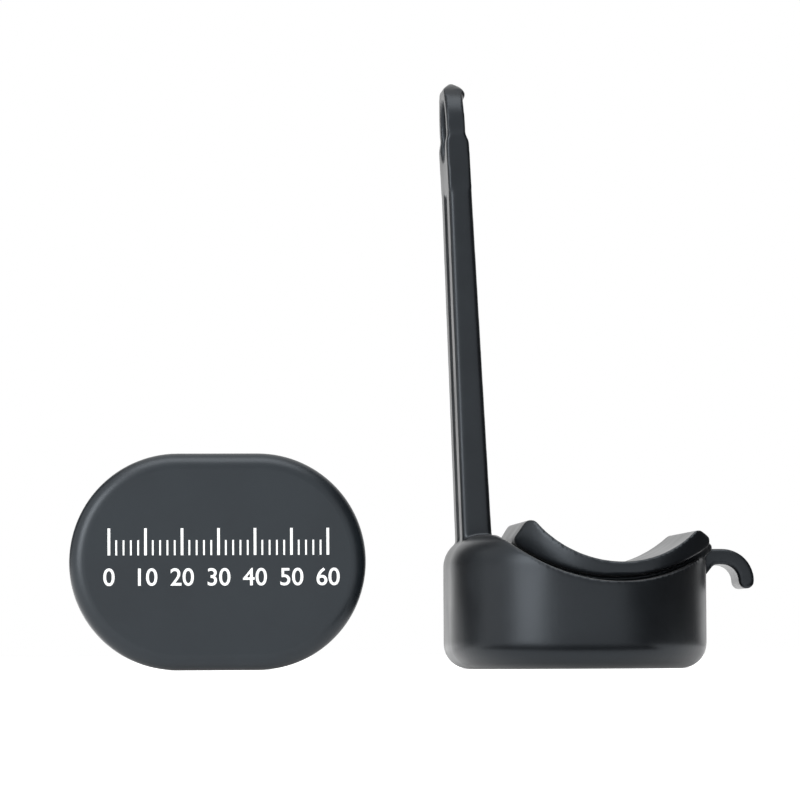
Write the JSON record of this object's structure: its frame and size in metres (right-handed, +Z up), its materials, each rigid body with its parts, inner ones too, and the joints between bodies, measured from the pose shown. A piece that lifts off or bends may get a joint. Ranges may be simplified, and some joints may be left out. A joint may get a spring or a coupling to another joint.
{
  "type": "bicycle wheel speed sensor with hub mount",
  "caption": "Pill-shaped wheel speed sensor pod with a coin-cell door, beside its rubber hub mount: sensor pocket, curved saddle, upright strap with an eye, and a hook.",
  "frame": {"origin": "on the standing surface, under the middle of the box that holds pod and mount", "axes": "+Z up, +X from the pod to the mount, +Y away from the pod's face along the hub's axis"},
  "size_m": [0.087, 0.0426, 0.0747],
  "materials": {
    "silicone": "satin, moulded",
    "pod_plastic": "satin moulded ABS",
    "seal_rubber": "matt",
    "cell_steel": "nickel plated",
    "gasket_plastic": "natural",
    "contact_metal": "spring-hard, plated",
    "board_laminate": "solder mask over glass-epoxy",
    "chip_resin": "moulded epoxy",
    "part_ceramic": "fired",
    "screw_steel": "zinc plated",
    "led_resin": "clear resin"
  },
  "bodies": {
    "mount": {"hub_cradle": "silicone"},
    "strap_1": {"strap_link_1": "silicone"},
    "strap_2": {"strap_link_2": "silicone"},
    "strap_3": {"strap_link_3": "silicone"},
    "strap_4": {"strap_link_4": "silicone"},
    "strap_5": {"strap_link_5": "silicone"},
    "eye": {"strap_eye": "silicone"},
    "pod": {"back_shell": "pod_plastic", "face_shell": "pod_plastic", "coin_cell_can": "cell_steel", "coin_cell_gasket": "gasket_plastic", "coin_cell_cap": "cell_steel", "negative_contact": "contact_metal", "positive_contact": "contact_metal", "circuit_board": "board_laminate", "board_screws": "screw_steel", "radio_chip": "chip_resin", "motion_sensor": "chip_resin", "regulator_chip": "chip_resin", "antenna_chip": "part_ceramic", "status_led": "led_resin", "crystals": "screw_steel", "capacitors": "part_ceramic", "resistors": "part_ceramic"},
    "door": {"battery_door": "pod_plastic", "door_oring": "seal_rubber"}
  },
  "joints": [
    {"name": "strap_bend_1", "type": "hinge", "parent": "mount", "child": "strap_1", "pos_m": [0.00975, 0, 0.018], "axis": [0, 1, 0], "range_deg": [0, 28], "stiffness_Nm_per_rad": 0.004},
    {"name": "strap_bend_2", "type": "hinge", "parent": "strap_1", "child": "strap_2", "pos_m": [0.0093, 0, 0.02659], "axis": [0, 1, 0], "range_deg": [0, 28], "stiffness_Nm_per_rad": 0.004},
    {"name": "strap_bend_3", "type": "hinge", "parent": "strap_2", "child": "strap_3", "pos_m": [0.00885, 0, 0.03517], "axis": [0, 1, 0], "range_deg": [0, 28], "stiffness_Nm_per_rad": 0.004},
    {"name": "strap_bend_4", "type": "hinge", "parent": "strap_3", "child": "strap_4", "pos_m": [0.0084, 0, 0.04376], "axis": [0, 1, 0], "range_deg": [0, 28], "stiffness_Nm_per_rad": 0.004},
    {"name": "strap_bend_5", "type": "hinge", "parent": "strap_4", "child": "strap_5", "pos_m": [0.00795, 0, 0.05235], "axis": [0, 1, 0], "range_deg": [0, 28], "stiffness_Nm_per_rad": 0.004},
    {"name": "strap_bend_6", "type": "hinge", "parent": "strap_5", "child": "eye", "pos_m": [0.0075, 0, 0.06094], "axis": [0, 1, 0], "range_deg": [0, 28], "stiffness_Nm_per_rad": 0.004},
    {"name": "pod_lift", "type": "slide", "parent": "mount", "child": "pod", "axis": [0, 0, 1], "range_m": [0, 0.08]},
    {"name": "battery_door_turn", "type": "hinge", "parent": "pod", "child": "door", "pos_m": [-0.02473, 0.0042, 0.0137], "axis": [0, 1, 0], "range_deg": [0, 30]}
  ],
  "couplings": [
    {"joint": "strap_bend_2", "follows": "strap_bend_1", "ratio": 1},
    {"joint": "strap_bend_3", "follows": "strap_bend_1", "ratio": 1},
    {"joint": "strap_bend_4", "follows": "strap_bend_1", "ratio": 1},
    {"joint": "strap_bend_5", "follows": "strap_bend_1", "ratio": 1},
    {"joint": "strap_bend_6", "follows": "strap_bend_1", "ratio": 1}
  ]
}
